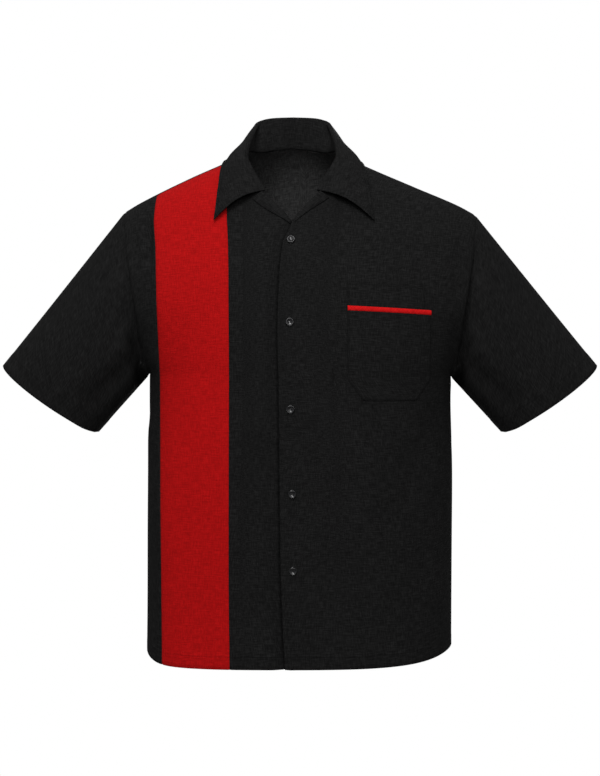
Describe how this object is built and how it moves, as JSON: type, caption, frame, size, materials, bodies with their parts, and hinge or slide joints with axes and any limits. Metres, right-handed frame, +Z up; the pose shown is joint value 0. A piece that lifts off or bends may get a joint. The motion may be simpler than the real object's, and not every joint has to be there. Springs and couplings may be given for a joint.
{
  "type": "bowling shirt",
  "caption": "Short-sleeved button-front bowling shirt with a camp collar, one contrast stripe panel and a piped chest pocket, filled out as worn.",
  "frame": {"origin": "on the body's centre plane between the shoulders, at the height where the collar meets them: where the wearer's neck and shoulders hold the shirt", "axes": "+X towards the wearer's left, -Y out of the front, +Z up"},
  "size_m": [0.8935, 0.2925, 0.8161],
  "materials": {
    "black_cloth": "matt slub weave",
    "red_cloth": "matt slub weave",
    "black_plastic": "gloss"
  },
  "bodies": {
    "root": {"back": "black_cloth", "right_front_side": "black_cloth", "right_front_panel": "red_cloth", "right_front_centre": "black_cloth", "left_front": "black_cloth", "sleeve_right": "black_cloth", "sleeve_left": "black_cloth", "collar": "black_cloth", "lapel_right": "black_cloth", "lapel_left": "black_cloth", "pocket": "black_cloth", "pocket_band": "black_cloth", "pocket_piping": "red_cloth", "button_1": "black_plastic", "button_2": "black_plastic", "button_3": "black_plastic", "button_4": "black_plastic", "button_5": "black_plastic"}
  },
  "joints": []
}
